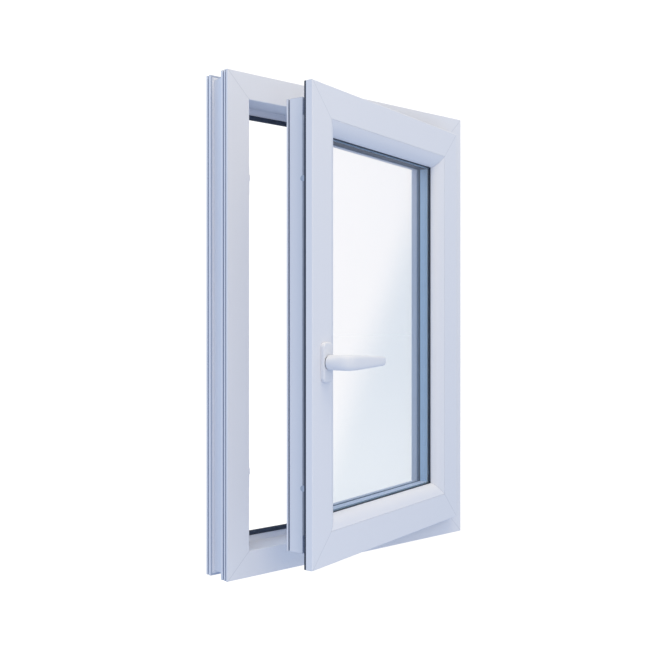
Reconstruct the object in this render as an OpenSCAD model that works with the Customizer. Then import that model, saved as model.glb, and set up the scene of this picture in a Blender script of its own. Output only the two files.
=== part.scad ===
// Inward-opening casement window: mitred hollow plastic frame and sash, sealed double glazing,
// side lock worked by a lever handle through a rack and pinion, two rebate-mounted barrel hinges.
// Millimetres. X to the right, Y from the room to the outside, Z up.
// The origin is the middle of the width, on the underside of the sill's interior foot.

/* [Window] */
// Overall width of the outer frame
frame_w = 600; // [480:5:760]
// Overall height of the outer frame
frame_h = 875; // [700:5:1060]
// Angle at which the sash stands open
sash_open = 15; // [0:1:75]

/* [Frame profile] */
// Depth of the frame from the room face to the outside face
frame_d = 66; // [62:1:80]
// Width of the face that the room side shows
frame_face = 46; // [44:1:54]
// Height of the outside leg above the rebate floor
leg_h = 19.5; // [14:0.5:20]
// Depth of the channel round the frame's outer side
channel_d = 8; // [4:1:9]

/* [Sash profile] */
// Width by which the overlap flange covers the frame face
overlap = 7; // [5:1:9]
// Thickness of the overlap flange
flange_t = 13.5; // [11:0.5:13.5]
// Gap between flange and frame face, filled by the gasket
seal_gap = 4.5; // [4:0.5:6]
// Gap between sash body and frame rebate
rebate_gap = 13; // [12:0.5:15]
// Depth of the sash from the room face to the outside face
sash_d = 68; // [67.5:0.5:69]
// Width of the flat sash face, up to the glazing bead
sash_face = 54; // [54:1:60]
// Thickness of the outer walls of both profiles
wall = 3; // [2.5:0.1:3]

/* [Glazing] */
// Thickness of each glass pane
pane_t = 4; // [3:0.5:4.5]
// Gap between the panes
pane_gap = 16; // [12:1:16]
// Height of a glazing packer under or beside the glass
packer_t = 6; // [4:0.5:7]
// Projected width of a glazing bead
bead_w = 24; // [20:1:26]

/* [Handle] */
// Height of the spindle above the underside of the sash
spindle_h = 337; // [250:1:400]
// Distance from the spindle to the sash edge
backset = 37; // [36:0.5:38]
// Distance from the spindle to the lever tip
lever_len = 113; // [90:1:125]
// Distance from the sash face to the middle of the lever
lever_out = 45; // [38:1:50]
// Height of the handle rosette
rosette_h = 68; // [64:1:72]
// Width of the handle rosette
rosette_w = 30; // [28:1:32]

/* [Lock] */
// Module of the pinion and the rack
gear_m = 1.25; // [1.25:0.05:1.3]
// Height of the lower locking cam above the underside of the sash
cam_low = 130; // [110:1:170]
// Distance between the two locking cams
cam_span = 510; // [380:5:560]
// Radius of a locking cam's roller
cam_r = 4.5; // [3.5:0.1:4.8]

/* [Hinges] */
// Distance of each hinge from the nearer end of the sash
hinge_end = 90; // [80:1:160]
// Radius of a hinge knuckle
knuckle_r = 5.5; // [5:0.1:5.8]
// Radius of a hinge pin
pin_r = 3; // [2.5:0.1:3.2]

/* [Fits] */
// Side play of a pin or journal that turns
run_fit = 0.05; // [0.02:0.01:0.1]
// Play between pieces of one body that are set side by side
seat = 0.1; // [0.05:0.05:0.2]
// Least distance between a moving piece and its surroundings
free = 0.3; // [0.3:0.05:0.5]

/* [Hidden] */
$fn = 48;

white = [0.86, 0.89, 0.95];
white_metal = [0.88, 0.90, 0.95];
seal_black = [0.10, 0.13, 0.19];
steel_grey = [0.62, 0.64, 0.67];
glass_tint = [0.88, 0.94, 0.97, 0.35];
spacer_grey = [0.60, 0.68, 0.78];
packer_blue = [0.20, 0.35, 0.62];

foot_y = 9;                    // middle of the land on the interior foot
lip_front = 20;                // depth of the interior lip beside the channel
lip_rear = 14;                 // depth of the exterior lip beside the channel
side_cut = 3.2;                // depth of the grooves in both profiles' outer sides
web = 2;                       // inner web of both profiles
steel_t = 1.5;                 // reinforcement wall
corner = 1;                    // chamfer of visible profile edges
mitre_gap = 0.05;              // half the weld line at a mitre
leg_t = 12;                    // thickness of the frame's outside leg
stand_off = flange_t + seal_gap;       // sash face in front of the frame face
reveal = frame_face - overlap;         // frame edge to sash edge
lip_w = overlap + rebate_gap;          // sash edge to sash body
sash_w = frame_w - 2 * reveal;
sash_h = frame_h - 2 * reveal;
leg_y = frame_d - leg_t;               // face of the outside leg
frame_sec = frame_face + leg_h;        // full width of the frame profile

groove_y = flange_t + seal_gap + 8.5;  // middle of the hardware groove, from the sash face
groove_w = 16;
groove_in_w = 12;
groove_lip = 3;
groove_deep = 9;
bead_step = 20;                        // depth of the seat under a bead
rebate_floor = sash_face + 9;
glass_y = bead_step + 2;               // room face of the inner pane
unit_t = 2 * pane_t + pane_gap;
sash_leg_y = glass_y + unit_t + 4;     // face of the sash's outside leg
sash_sec = sash_face + 26;             // full width of the sash profile
glass_in = rebate_floor + packer_t;    // sash edge to glass edge
spacer_in = sash_sec + 1;              // sash edge to the spacer's sight line
spacer_t = 7;

hinge_x = frame_w - reveal + knuckle_r + 1;    // hinge axis beside the flange edge
hinge_y = -knuckle_r - 1.5;                    // hinge axis in front of the frame face
leaf_t = 2.2;
knuckle_h = 24;
knuckle_gap = 0.5;
leaf_h = 40;
leaf_reach = 32;

screw_r = 1.95;
screw_hole_r = 2.05;
screw_head_r = 3.4;
screw_head_h = 1.6;
screw_len = 12;

fix_r = 3.75;                  // holes for the window's fixing screws
fix_y = 36;
fix_end_x = 200;
fix_end_z = 240;

teeth = 15;
pressure = 20;
pitch_r = gear_m * teeth / 2;
base_r = pitch_r * cos(pressure);
tip_r = pitch_r + gear_m;
root_r = pitch_r - 1.25 * gear_m;
rack_pitch = PI * gear_m;
rack_add = 0.84 * gear_m;
rack_ded = 1.3 * gear_m;
play_deg = 0.4;
rack_play = 0.06;
travel = pitch_r * PI / 2;
gear_w = 8;
hub_r = 6.5;
case_w = 13;
case_h = 56;
case_wall = 2;
pocket_h = 76;
plate_t = 2.5;
plate_end = 50;
rod_t = 2;
rod_w = 11.2;
rod_x = lip_w + seat + plate_t + free;
rod_end = 30;
spindle_a = 7;
collar_r = 9;
neck_r = 9.9;

// ---------- placing ----------

// From window coordinates (left edge, room face, underside) to the part's origin
module place() { translate([-frame_w / 2, -foot_y, 0]) children(); }

// From sash coordinates (left edge, room face, underside of the sash) to the open sash
module swing() {
  place()
    translate([hinge_x, hinge_y, 0])
      rotate([0, 0, sash_open])
        translate([reveal - hinge_x, -stand_off - hinge_y, reveal])
          children();
}

// A length with mitred ends; its section lies in (inward, depth) and it stands along Z
module bar(len, reach) {
  intersection() {
    linear_extrude(height = len) children();
    translate([0, frame_d + sash_d, 0])
      rotate([90, 0, 0])
        linear_extrude(height = 2 * (frame_d + sash_d))
          polygon([[-5, mitre_gap - 5], [reach + 5, reach + 5 + mitre_gap],
            [reach + 5, len - reach - 5 - mitre_gap], [-5, len + 5 - mitre_gap]]);
  }
}
module at_right(w) { translate([w, 0, 0]) mirror([1, 0, 0]) children(); }
module at_bottom() { mirror([0, 0, 1]) rotate([0, 90, 0]) children(); }
module at_top(h) { translate([0, 0, h]) rotate([0, 90, 0]) children(); }

// The same section on all four sides of a rectangle
module ring(w, h, reach) {
  bar(h, reach) children();
  at_right(w) bar(h, reach) children();
  at_bottom() bar(w, reach) children();
  at_top(h) bar(w, reach) children();
}

// A pan-head screw along -X with its head's underside at the origin
module screw_out(len) {
  rotate([0, -90, 0]) cylinder(r = screw_r, h = len);
  difference() {
    rotate([0, 90, 0]) cylinder(r = screw_head_r, h = screw_head_h);
    translate([screw_head_h / 2, -2.2, -0.4]) cube([screw_head_h, 4.4, 0.8]);
    translate([screw_head_h / 2, -0.4, -2.2]) cube([screw_head_h, 0.8, 4.4]);
  }
}

// ---------- sections, in (inward, depth) ----------

module frame_section() {
  difference() {
    polygon([
      [corner, 0], [frame_face - corner, 0], [frame_face, corner], [frame_face, leg_y - 1],
      [frame_face + 1, leg_y], [frame_sec - 0.5, leg_y], [frame_sec, leg_y + 0.5],
      [frame_sec - 5, frame_d], [corner, frame_d], [0, frame_d - corner],
      [0, frame_d - 4.7], [side_cut, frame_d - 4.7], [side_cut, frame_d - 8.4], [0, frame_d - 8.4],
      [0, frame_d - lip_rear], [channel_d, frame_d - lip_rear], [channel_d, lip_front],
      [0, lip_front], [0, 14.6], [side_cut, 14.6], [side_cut, 10.6], [0, 10.6],
      [0, 7.2], [side_cut, 7.2], [side_cut, 4.2], [0, 4.2], [0, corner]]);
    // front chamber
    translate([side_cut + wall, wall]) square([frame_face - 2 * wall - side_cut, 11]);
    // reinforcement chamber
    translate([channel_d + wall, 14 + web])
      square([frame_face - channel_d - 2 * wall, leg_y - 14 - 2 * web]);
    // rear chamber
    translate([side_cut + wall, leg_y + 1]) square([frame_face - wall - side_cut, leg_t - wall - 2]);
    // gasket groove
    translate([frame_sec - 6, leg_y - 1]) square([3, 4]);
  }
}

module frame_gasket_section() {
  polygon([[frame_sec - 5.8, leg_y + 2.8], [frame_sec - 3.2, leg_y + 2.8],
    [frame_sec - 3.2, leg_y - seat], [frame_sec + seat, leg_y - seat],
    [frame_sec + seat, leg_y + 1.5], [frame_sec + 1, leg_y + 1.5], [frame_sec + 1, leg_y - 1.6],
    [frame_sec - 0.4, leg_y - 3.2], [frame_sec - 1.8, leg_y - leg_seal], [frame_sec - 5, leg_y - leg_seal],
    [frame_sec - 7.2, leg_y - 2.6], [frame_sec - 7.6, leg_y - seat], [frame_sec - 5.8, leg_y - seat]]);
}
leg_seal = leg_y - (sash_d - stand_off) - free;

module sash_section() {
  difference() {
    polygon([
      [corner, 0], [sash_face, 0], [sash_face, bead_step], [rebate_floor, bead_step],
      [rebate_floor, sash_leg_y], [sash_sec - 1, sash_leg_y], [sash_sec, sash_leg_y + 1],
      [sash_sec, sash_leg_y + 10], [sash_sec - 2, sash_leg_y + 13], [sash_sec - 10, sash_d],
      [lip_w + corner, sash_d], [lip_w, sash_d - corner],
      [lip_w, sash_d - 4], [lip_w + side_cut, sash_d - 4], [lip_w + side_cut, sash_d - 7.5],
      [lip_w, sash_d - 7.5], [lip_w, groove_y + groove_w / 2],
      [lip_w + groove_lip, groove_y + groove_w / 2], [lip_w + groove_lip, groove_y + groove_in_w / 2],
      [lip_w + groove_deep, groove_y + groove_in_w / 2],
      [lip_w + groove_deep, groove_y - groove_in_w / 2],
      [lip_w + groove_lip, groove_y - groove_in_w / 2], [lip_w + groove_lip, groove_y - groove_w / 2],
      [lip_w, groove_y - groove_w / 2], [lip_w, flange_t],
      [4, flange_t], [4, flange_t - 2.5], [2, flange_t - 2.5], [2, flange_t],
      [corner / 2, flange_t], [0, flange_t - corner / 2], [0, corner]]);
    // face chamber
    translate([4 + wall, wall]) square([sash_face - 2 * wall - 4, flange_t - wall - web - 0.5]);
    // gear chamber
    translate([lip_w + groove_deep + web, flange_t + 0.5])
      square([sash_face - lip_w - groove_deep - web - wall, groove_y + groove_w / 2 - flange_t - 1]);
    // reinforcement chamber
    translate([lip_w + wall, groove_y + groove_w / 2 + wall])
      square([rebate_floor - lip_w - 2 * wall, sash_leg_y - groove_y - groove_w / 2 - wall - web]);
    // rear chamber
    translate([lip_w + side_cut + wall, sash_leg_y + wall])
      square([sash_sec - lip_w - side_cut - 2 * wall - 7, sash_d - sash_leg_y - 2 * wall]);
  }
}

module sash_gasket_section() {
  polygon([[2.2, flange_t - 2.3], [3.8, flange_t - 2.3], [3.8, flange_t + seat],
    [6, flange_t + seat], [6.4, flange_t + 1.4], [4.6, stand_off - free], [1.4, stand_off - free],
    [0.2, stand_off - 1.4], [0.2, flange_t + seat], [2.2, flange_t + seat]]);
}

module bead_section() {
  difference() {
    translate([sash_face, 0])
      polygon([[0.2, 1.2], [0.9, 0.5], [2.2, 0.6], [bead_w - 20, 1.3], [bead_w - 16, 2.7],
        [bead_w - 12, 4.5], [bead_w - 8.5, 6.6], [bead_w - 5.5, 9], [bead_w - 3, 11.8],
        [bead_w - 1, 15], [bead_w, 18], [bead_w, bead_step - 0.3], [0.2, bead_step - 0.3]]);
    translate([sash_face + 2.5, 4])
      polygon([[0, 0], [bead_w - 17, 3], [bead_w - 10, 8], [bead_w - 6, 12.4], [0, 12.4]]);
  }
}

module inner_gasket_section() {
  polygon([[sash_face + bead_w - 4, bead_step - 0.2], [sash_face + bead_w + 0.6, bead_step - 0.2],
    [sash_face + bead_w + 1.4, bead_step + 0.9], [sash_face + bead_w + 1.7, glass_y - seat],
    [sash_face + bead_w - 4, glass_y - seat]]);
}

module outer_gasket_section() {
  polygon([[sash_sec - 6.5, glass_y + unit_t + seat], [sash_sec + 0.8, glass_y + unit_t + seat],
    [sash_sec + 0.4, sash_leg_y - seat], [sash_sec - 6.5, sash_leg_y - seat]]);
}

// ---------- frame ----------

// Fixing holes, in window coordinates; they run right through one bar
module head_fixing() {
  for (x = [fix_end_x, frame_w - fix_end_x])
    translate([x, fix_y, frame_h - frame_sec - 1]) cylinder(r = fix_r, h = frame_sec + 2);
}
module jamb_fixing() {
  for (z = [fix_end_z, frame_h - fix_end_z])
    translate([frame_w - frame_sec - 1, fix_y, z]) rotate([0, 90, 0]) cylinder(r = fix_r, h = frame_sec + 2);
}

// Screw centres, each as [depth, height] in window coordinates
function keep_at() = [for (c = [cam_low, cam_low + cam_span]) for (d = [-9, travel + 13])
  [17.8, reveal + c + d]];
function hinge_low() = [for (z = [hinge_end, sash_h - hinge_end - 2 * knuckle_h]) reveal + z];
function frame_leaf_at() = [for (z = hinge_low()) for (d = [-8, 16]) [22, z + d]];
// and in sash coordinates
function sash_leaf_at() = [for (z = hinge_low()) for (d = [8, 31])
  [groove_y + groove_w / 2 + wall + 4, z - reveal + knuckle_h + d]];

module lock_jamb_holes(r) {
  for (p = keep_at())
    translate([frame_face - screw_len, p[0], p[1]]) rotate([0, 90, 0]) cylinder(r = r, h = screw_len + 4);
}
module hinge_jamb_holes(r) {
  for (p = frame_leaf_at())
    translate([frame_w - frame_face - 4, p[0], p[1]]) rotate([0, 90, 0]) cylinder(r = r, h = screw_len + 4);
}

module frame_head() {
  color(white) place() difference() {
    at_top(frame_h) bar(frame_w, frame_sec) frame_section();
    head_fixing();
  }
}
module frame_sill() {
  color(white) place() at_bottom() bar(frame_w, frame_sec) frame_section();
}
module frame_jamb_lock() {
  color(white) place() difference() {
    bar(frame_h, frame_sec) frame_section();
    lock_jamb_holes(screw_hole_r);
  }
}
module frame_jamb_hinge() {
  color(white) place() difference() {
    at_right(frame_w) bar(frame_h, frame_sec) frame_section();
    hinge_jamb_holes(screw_hole_r);
    jamb_fixing();
  }
}

module frame_tube(len) {
  tube_w = frame_face - channel_d - 2 * wall - 2 * free;
  tube_d = leg_y - 14 - 2 * web - 2 * free;
  translate([channel_d + wall + free, 14 + web + free, frame_face + 2])
    difference() {
      cube([tube_w, tube_d, len - 2 * frame_face - 4]);
      translate([steel_t, steel_t, -1])
        cube([tube_w - 2 * steel_t, tube_d - 2 * steel_t, len - 2 * frame_face]);
    }
}
module frame_reinforcement() {
  color(steel_grey) place() difference() {
    union() {
      frame_tube(frame_h);
      at_right(frame_w) frame_tube(frame_h);
      at_bottom() frame_tube(frame_w);
      at_top(frame_h) frame_tube(frame_w);
    }
    head_fixing();
    jamb_fixing();
    lock_jamb_holes(screw_hole_r);
    hinge_jamb_holes(screw_hole_r);
  }
}

module frame_gasket() {
  color(seal_black) place() ring(frame_w, frame_h, frame_sec + 2) frame_gasket_section();
}

module drain_caps() {
  color(white) place()
    for (x = [frame_w / 4, 3 * frame_w / 4])
      translate([x - 17, frame_d + seat, 18])
        difference() {
          cube([34, 3, 12]);
          translate([3, -1, -1]) cube([28, 2.6, 9]);
        }
}

// One keep: plate on the jamb and a lip in front of the locked cam
module keep(z) {
  translate([frame_face + seat, 3, z - 15]) cube([1.9, 19, travel + 34]);
  translate([frame_face + seat, 1, z + travel - cam_r - 0.5]) cube([7.4, 2.1, 2 * cam_r + 1]);
}
module keeps() {
  color(white_metal) place() difference() {
    for (c = [cam_low, cam_low + cam_span]) keep(reveal + c);
    lock_jamb_holes(screw_hole_r);
  }
}
module keep_screws() {
  color(steel_grey) place()
    for (p = keep_at())
      translate([frame_face + seat + 1.9 + seat / 2, p[0], p[1]]) screw_out(screw_len - 1);
}

// ---------- hinges ----------

// Knuckle with its bore, on the hinge axis
module knuckle(r_hole) {
  difference() {
    union() {
      cylinder(r = knuckle_r, h = knuckle_h);
      children();
    }
    translate([0, 0, -1]) cylinder(r = r_hole, h = knuckle_h + 2);
  }
}

module frame_leaf() {
  knuckle(pin_r) {
    translate([frame_w - frame_face - hinge_x, -hinge_y - seat - leaf_t, 0])
      cube([hinge_x - frame_w + frame_face + 4, leaf_t, knuckle_h]);
    translate([frame_w - frame_face - hinge_x - seat - leaf_t, -hinge_y - seat - leaf_t, knuckle_h - leaf_h])
      cube([leaf_t + seat, leaf_reach, leaf_h]);
  }
}
module hinge_frame_leaves() {
  color(white_metal) place() difference() {
    for (z = hinge_low()) translate([hinge_x, hinge_y, z]) frame_leaf();
    hinge_jamb_holes(screw_hole_r);
  }
}
module hinge_pins() {
  color(steel_grey) place()
    for (z = hinge_low())
      translate([hinge_x, hinge_y, z + 1]) cylinder(r = pin_r, h = 2 * knuckle_h - 3);
}
module hinge_frame_screws() {
  color(steel_grey) place()
    for (p = frame_leaf_at())
      translate([frame_w - frame_face - seat - leaf_t - seat / 2, p[0], p[1]])
        mirror([1, 0, 0]) screw_out(screw_len - 1);
}

// Sash leaf in sash coordinates moved to the hinge axis
module sash_leaf() {
  sx = hinge_x - reveal;
  sy = hinge_y + stand_off;
  knuckle(pin_r + run_fit) {
    translate([sash_w - lip_w - sx, flange_t + seat - sy, 0])
      cube([sx - sash_w + lip_w - 2.8, leaf_t, knuckle_h]);
    translate([sash_w - lip_w + seat - sx, flange_t + seat - sy, 0])
      cube([leaf_t, leaf_reach + 2, leaf_h]);
  }
}
module sash_leaf_holes(r) {
  for (p = sash_leaf_at())
    translate([sash_w - lip_w - screw_len, p[0], p[1]]) rotate([0, 90, 0]) cylinder(r = r, h = screw_len + 4);
}
module hinge_sash_leaves() {
  color(white_metal) swing() difference() {
    for (z = hinge_low())
      translate([hinge_x - reveal, hinge_y + stand_off, z - reveal + knuckle_h + knuckle_gap]) sash_leaf();
    sash_leaf_holes(screw_hole_r);
  }
}
module hinge_sash_screws() {
  color(steel_grey) swing()
    for (p = sash_leaf_at())
      translate([sash_w - lip_w + seat + leaf_t + seat / 2, p[0], p[1]]) screw_out(screw_len - 1);
}

// ---------- sash ----------

module sash_top_rail() {
  color(white) swing() at_top(sash_h) bar(sash_w, sash_sec) sash_section();
}
module sash_bottom_rail() {
  color(white) swing() at_bottom() bar(sash_w, sash_sec) sash_section();
}
module sash_hinge_stile() {
  color(white) swing() difference() {
    at_right(sash_w) bar(sash_h, sash_sec) sash_section();
    sash_leaf_holes(screw_hole_r);
  }
}
module sash_lock_stile() {
  color(white) swing() difference() {
    bar(sash_h, sash_sec) sash_section();
    // pocket for the gear case and the rack
    translate([lip_w - 1, groove_y - case_w / 2 - free, spindle_h - pocket_h / 2])
      cube([backset + tip_r + case_wall + 2 * free - lip_w + 1, case_w + 2 * free, pocket_h]);
    // spindle passage and handle screws
    translate([backset, -1, spindle_h]) rotate([-90, 0, 0]) cylinder(r = 7.5, h = groove_y);
    handle_screw_holes(2.6);
    faceplate_holes(screw_hole_r);
  }
}

module sash_tube(len) {
  tube_w = rebate_floor - lip_w - 2 * wall - 2 * free;
  tube_d = sash_leg_y - groove_y - groove_w / 2 - wall - web - 2 * free;
  translate([lip_w + wall + free, groove_y + groove_w / 2 + wall + free, rebate_floor + 2])
    difference() {
      cube([tube_w, tube_d, len - 2 * rebate_floor - 4]);
      translate([steel_t, steel_t, -1])
        cube([tube_w - 2 * steel_t, tube_d - 2 * steel_t, len - 2 * rebate_floor]);
    }
}
module sash_reinforcement() {
  color(steel_grey) swing() difference() {
    union() {
      sash_tube(sash_h);
      at_right(sash_w) sash_tube(sash_h);
      at_bottom() sash_tube(sash_w);
      at_top(sash_h) sash_tube(sash_w);
    }
    sash_leaf_holes(screw_hole_r);
  }
}

module sash_gasket() {
  color(seal_black) swing() difference() {
    ring(sash_w, sash_h, lip_w) sash_gasket_section();
    // the seal stops at the two hinges
    for (z = hinge_low())
      translate([sash_w - lip_w, flange_t - 4, z - reveal - 1])
        cube([lip_w + 1, seal_gap + 5, 2 * knuckle_h + 3]);
  }
}

// ---------- glazing ----------

module bead_top() { color(white) swing() at_top(sash_h) bar(sash_w, sash_sec) bead_section(); }
module bead_bottom() { color(white) swing() at_bottom() bar(sash_w, sash_sec) bead_section(); }
module bead_left() { color(white) swing() bar(sash_h, sash_sec) bead_section(); }
module bead_right() { color(white) swing() at_right(sash_w) bar(sash_h, sash_sec) bead_section(); }

module glazing_gasket_inner() {
  color(seal_black) swing() ring(sash_w, sash_h, sash_sec + 3) inner_gasket_section();
}
module glazing_gasket_outer() {
  color(seal_black) swing() ring(sash_w, sash_h, sash_sec + 3) outer_gasket_section();
}

module pane(y) {
  translate([glass_in, y, glass_in])
    cube([sash_w - 2 * glass_in, pane_t, sash_h - 2 * glass_in]);
}
module glass_inner() { color(glass_tint) swing() pane(glass_y); }
module glass_outer() { color(glass_tint) swing() pane(glass_y + pane_t + pane_gap); }

// Rectangular ring between the panes, from one inset to another
module between_panes(inset, thick) {
  translate([inset, glass_y + pane_t + seat / 2, inset])
    difference() {
      cube([sash_w - 2 * inset, pane_gap - seat, sash_h - 2 * inset]);
      translate([thick, -1, thick])
        cube([sash_w - 2 * inset - 2 * thick, pane_gap + 2, sash_h - 2 * inset - 2 * thick]);
    }
}
module glass_spacer() {
  color(spacer_grey) swing() between_panes(spacer_in - spacer_t, spacer_t);
}
module glass_edge_seal() {
  color(seal_black) swing() between_panes(glass_in + 0.2, spacer_in - spacer_t - glass_in - 0.3);
}

module packer(len) {
  translate([rebate_floor + seat, glass_y + 1, -len / 2]) cube([packer_t - 2 * seat, unit_t - 2, len]);
}
module glazing_packers() {
  color(packer_blue) swing() {
    for (z = [glass_in + 90, sash_h - glass_in - 90]) {
      translate([0, 0, z]) packer(80);
      at_right(sash_w) translate([0, 0, z]) packer(80);
    }
    for (x = [glass_in + 70, sash_w - glass_in - 70]) {
      at_bottom() translate([0, 0, x]) packer(80);
      at_top(sash_h) translate([0, 0, x]) packer(80);
    }
  }
}

// ---------- lock, in sash coordinates ----------

module faceplate_holes(r) {
  for (z = [plate_end + 14, sash_h - plate_end - 14])
    translate([lip_w - 1, groove_y, z]) rotate([0, 90, 0]) cylinder(r = r, h = screw_len + 1);
}
module cam_slot(z) {
  translate([lip_w - 1, groove_y, z]) {
    rotate([0, 90, 0]) cylinder(r = 3 + free, h = plate_t + 2);
    translate([0, 0, travel]) rotate([0, 90, 0]) cylinder(r = 3 + free, h = plate_t + 2);
    translate([0, -3 - free, 0]) cube([plate_t + 2, 6 + 2 * free, travel]);
  }
}
module lock_faceplate() {
  color(steel_grey) swing() difference() {
    translate([lip_w + seat, groove_y - groove_w / 2 + 0.2, plate_end])
      cube([plate_t, groove_w - 0.4, sash_h - 2 * plate_end]);
    cam_slot(cam_low);
    cam_slot(cam_low + cam_span);
    faceplate_holes(screw_hole_r);
  }
}
module faceplate_screws() {
  color(steel_grey) swing()
    for (z = [plate_end + 14, sash_h - plate_end - 14])
      translate([lip_w + seat / 2, groove_y, z]) mirror([1, 0, 0]) screw_out(screw_len - 2);
}

module gear_case() {
  case_x0 = rod_x + rod_t + free + 1.4;
  case_x1 = backset + tip_r + case_wall + free;
  color(steel_grey) swing() difference() {
    translate([case_x0, groove_y - case_w / 2, spindle_h - case_h / 2])
      cube([case_x1 - case_x0, case_w, case_h]);
    // room for the pinion, open towards the rod
    translate([backset, groove_y - gear_w / 2 - free, spindle_h])
      rotate([-90, 0, 0]) cylinder(r = tip_r + free, h = gear_w + 2 * free);
    translate([case_x0 - 1, groove_y - gear_w / 2 - free, spindle_h - case_h / 2 - 1])
      cube([backset - pitch_r + gear_m + free - case_x0 + 1, gear_w + 2 * free, case_h + 2]);
    // bearings of the pinion
    translate([backset, groove_y - case_w, spindle_h])
      rotate([-90, 0, 0]) cylinder(r = hub_r + run_fit, h = 2 * case_w);
    handle_screw_holes(2.5);
  }
}

// ---------- handle, in sash coordinates with the spindle as centre ----------

module at_spindle() { translate([backset, 0, spindle_h]) children(); }

module handle_screw_holes(r) {
  for (s = [-1, 1])
    translate([backset, -6, spindle_h + s * 21.5]) rotate([-90, 0, 0]) cylinder(r = r, h = groove_y + 8 + case_w / 2);
}
module rounded(w, h, r) {
  square([w - 2 * r, h], center = true);
  square([w, h - 2 * r], center = true);
  for (x = [-1, 1])
    for (z = [-1, 1])
      translate([x * (w / 2 - r), z * (h / 2 - r)]) circle(r = r);
}
// A plate parallel to the sash face, from depth y0 to y1
module face_plate(y0, y1) { translate([0, y1, 0]) rotate([90, 0, 0]) linear_extrude(height = y1 - y0) children(); }

module handle_base() {
  color(steel_grey) swing() difference() {
    at_spindle() face_plate(-5, -seat) rounded(rosette_w - 4.4, rosette_h - 4.4, 8);
    at_spindle() translate([0, -6, 0]) rotate([-90, 0, 0]) cylinder(r = collar_r + run_fit, h = 7);
    handle_screw_holes(2.6);
    // sinks for the screw heads
    for (s = [-1, 1])
      translate([backset, -6, spindle_h + s * 21.5]) rotate([-90, 0, 0]) cylinder(r = 4.6, h = 3.2);
  }
}
module handle_screws() {
  color(steel_grey) swing()
    for (s = [-1, 1])
      translate([backset, 0, spindle_h + s * 21.5]) {
        translate([0, -2.9, 0]) rotate([-90, 0, 0]) cylinder(r = 2.45, h = groove_y + case_w / 2);
        difference() {
          translate([0, -5.2, 0]) rotate([-90, 0, 0]) cylinder(r = 4.4, h = 2.3);
          translate([-2.4, -5.7, -0.5]) cube([4.8, 1.6, 1]);
          translate([-0.5, -5.7, -2.4]) cube([1, 1.6, 4.8]);
        }
      }
}
module rosette_cover() {
  color(white) swing() difference() {
    at_spindle() union() {
      face_plate(-8, -seat) rounded(rosette_w, rosette_h, 9);
      face_plate(-9, -7.5) rounded(rosette_w - 2, rosette_h - 2, 8.2);
      face_plate(-9.6, -8.5) rounded(rosette_w - 5, rosette_h - 5, 7);
    }
    at_spindle() face_plate(-7, 1) rounded(rosette_w - 4, rosette_h - 4, 8);
    at_spindle() translate([0, -12, 0]) rotate([-90, 0, 0]) cylinder(r = neck_r + 0.6 + free, h = 14);
  }
}

// The lever lies along +X at rest: the lock is open
module handle_lever() {
  color(white) swing() at_spindle() difference() {
    union() {
      translate([0, -12, 0]) rotate([-90, 0, 0]) cylinder(r = collar_r, h = 12 - 2 * seat);
      translate([0, -16, 0]) rotate([-90, 0, 0]) cylinder(r = neck_r + 0.6, h = 9);
      translate([0, -lever_out + 1, 0]) rotate([-90, 0, 0]) cylinder(r = neck_r, h = lever_out - 10);
      hull() {
        for (z = [-5.8, 5.8]) translate([5.8 - neck_r, -lever_out, z]) sphere(r = 6, $fn = 32);
        for (z = [-3.6, 4]) translate([lever_len - 3.8, -lever_out - 1, z]) sphere(r = 3.8, $fn = 32);
      }
    }
    translate([-spindle_a / 2 - seat, -32, -spindle_a / 2 - seat])
      cube([spindle_a + 2 * seat, 33, spindle_a + 2 * seat]);
  }
}
module handle_spindle() {
  color(steel_grey) swing() at_spindle()
    translate([-spindle_a / 2, -31.5, -spindle_a / 2])
      cube([spindle_a, 31.5 + groove_y + case_w / 2 - 1, spindle_a]);
}

// Involute pinion: angle from a tooth's middle to its flank at radius r
function inv(a) = tan(a) * 180 / PI - a;
function flank(r) = 90 / teeth - play_deg + inv(pressure) - (r > base_r ? inv(acos(base_r / r)) : 0);
flank_r = [root_r, base_r, base_r + 0.3, pitch_r, pitch_r + 0.5 * gear_m, tip_r];
function tooth(i) = concat(
  [for (r = flank_r) let (a = 360 * i / teeth - flank(r)) [r * cos(a), r * sin(a)]],
  [for (k = [len(flank_r) - 1:-1:0]) let (r = flank_r[k], a = 360 * i / teeth + flank(r))
    [r * cos(a), r * sin(a)]]);
module drive_pinion() {
  color(steel_grey) swing() at_spindle() difference() {
    union() {
      translate([0, groove_y + gear_w / 2, 0]) rotate([90, 0, 0]) rotate([0, 0, 180])
        linear_extrude(height = gear_w) polygon([for (i = [0:teeth - 1]) each tooth(i)]);
      translate([0, groove_y + case_w / 2, 0]) rotate([90, 0, 0]) cylinder(r = hub_r, h = case_w);
    }
    translate([-spindle_a / 2 - seat, groove_y - case_w, -spindle_a / 2 - seat])
      cube([spindle_a + 2 * seat, 2 * case_w, spindle_a + 2 * seat]);
  }
}

// Rod with its rack; a rack gap faces the pinion's tooth at rest
rack_x = backset - pitch_r;
rack_n = [-7:2];
function rack_tooth(i) = let (z = (i + 0.5) * rack_pitch, s = tan(pressure), h = rack_pitch / 4 - rack_play)
  [[rack_x - rack_ded, z - h - rack_ded * s], [rack_x + rack_add, z - h + rack_add * s],
   [rack_x + rack_add, z + h - rack_add * s], [rack_x - rack_ded, z + h + rack_ded * s]];
module drive_rod() {
  rod_z0 = cam_low - rod_end;
  color(steel_grey) swing() {
    translate([rod_x, groove_y - rod_w / 2, rod_z0]) cube([rod_t, rod_w, cam_span + 2 * rod_end]);
    translate([0, groove_y + gear_w / 2, spindle_h])
      rotate([90, 0, 0])
        linear_extrude(height = gear_w)
          polygon(concat([[rod_x + rod_t / 2, -7.2 * rack_pitch]],
            [for (i = rack_n) each rack_tooth(i)],
            [[rod_x + rod_t / 2, 3.2 * rack_pitch]]));
  }
}
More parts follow.
